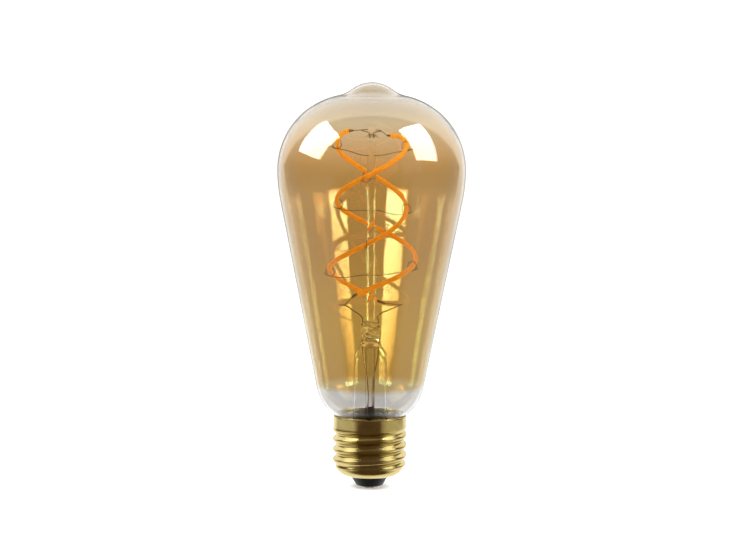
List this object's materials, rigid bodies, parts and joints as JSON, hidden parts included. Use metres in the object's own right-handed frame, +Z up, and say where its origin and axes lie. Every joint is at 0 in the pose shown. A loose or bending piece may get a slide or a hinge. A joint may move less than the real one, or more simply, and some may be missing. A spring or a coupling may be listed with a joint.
{
  "type": "smart light bulb",
  "caption": "Pear-shaped amber glass LED filament bulb with two spiral filaments on a glass stem and a brass screw cap that holds its driver and radio.",
  "frame": {"origin": "middle of the centre contact's flat face, at the bottom of the cap", "axes": "+Z up the lamp's axis to the tip of the glass, +X right, -Y front"},
  "size_m": [0.0656, 0.0656, 0.142],
  "materials": {
    "amber_glass": "gold-amber metallised coat on clear blown glass, clear near the cap",
    "clear_glass": "clear soda-lime stem glass",
    "rod_glass": "clear glass rod with a pressed bead",
    "brass": "rolled and nickel-free bright brass",
    "black_insulator": "glossy black vitrite",
    "contact_metal": "stamped contact disc",
    "solder": "dull solder",
    "cement": "matt capping cement",
    "phosphor": "orange phosphor silicone",
    "flex_board": "white polyimide strip",
    "led_chip": "bare sapphire chips",
    "nickel_wire": "drawn nickel-plated wire",
    "dumet": "copper-clad sealing wire",
    "copper_wire": "bare copper wire",
    "liner_plastic": "heat-resistant nylon",
    "circuit_board": "green solder mask",
    "radio_circuit_board": "blue solder mask",
    "black_package": "moulded epoxy package",
    "capacitor_sleeve": "shrink sleeve",
    "ferrite": "sintered ferrite",
    "resistor_coat": "flameproof lacquer",
    "shield_can": "tinned steel",
    "gold_trace": "gold-flashed copper",
    "red_sleeve": "insulated wire"
  },
  "bodies": {
    "root": {"glass_envelope": "amber_glass", "stem_tube": "clear_glass", "stem_press": "clear_glass", "exhaust_tube": "clear_glass", "centre_rod": "rod_glass", "rod_bead": "rod_glass", "screw_shell": "brass", "insulator": "black_insulator", "centre_contact": "contact_metal", "contact_solder": "solder", "cement_ring": "cement", "insulating_liner": "liner_plastic", "driver_board": "circuit_board", "bridge_rectifier": "black_package", "filter_capacitor": "capacitor_sleeve", "choke_core": "ferrite", "choke_winding": "copper_wire", "control_chip": "black_package", "chip_legs": "solder", "fusible_resistor": "resistor_coat", "radio_board": "radio_circuit_board", "radio_shield": "shield_can", "radio_antenna": "gold_trace", "radio_pins": "gold_trace", "solder_pads": "solder", "live_wire": "red_sleeve", "neutral_wire": "copper_wire", "phosphor_sleeve_1": "phosphor", "led_strip_1": "flex_board", "led_chips_1": "led_chip", "top_terminal_1": "nickel_wire", "bottom_terminal_1": "nickel_wire", "bead_wire_1": "nickel_wire", "upper_lead_1": "nickel_wire", "seal_wire_1": "dumet", "lower_lead_1": "copper_wire", "hook_1_1": "nickel_wire", "hook_1_2": "nickel_wire", "hook_1_3": "nickel_wire", "hook_1_4": "nickel_wire", "hook_1_5": "nickel_wire", "phosphor_sleeve_2": "phosphor", "led_strip_2": "flex_board", "led_chips_2": "led_chip", "top_terminal_2": "nickel_wire", "bottom_terminal_2": "nickel_wire", "bead_wire_2": "nickel_wire", "upper_lead_2": "nickel_wire", "seal_wire_2": "dumet", "lower_lead_2": "copper_wire", "hook_2_1": "nickel_wire", "hook_2_2": "nickel_wire", "hook_2_3": "nickel_wire", "hook_2_4": "nickel_wire", "hook_2_5": "nickel_wire"}
  },
  "joints": []
}
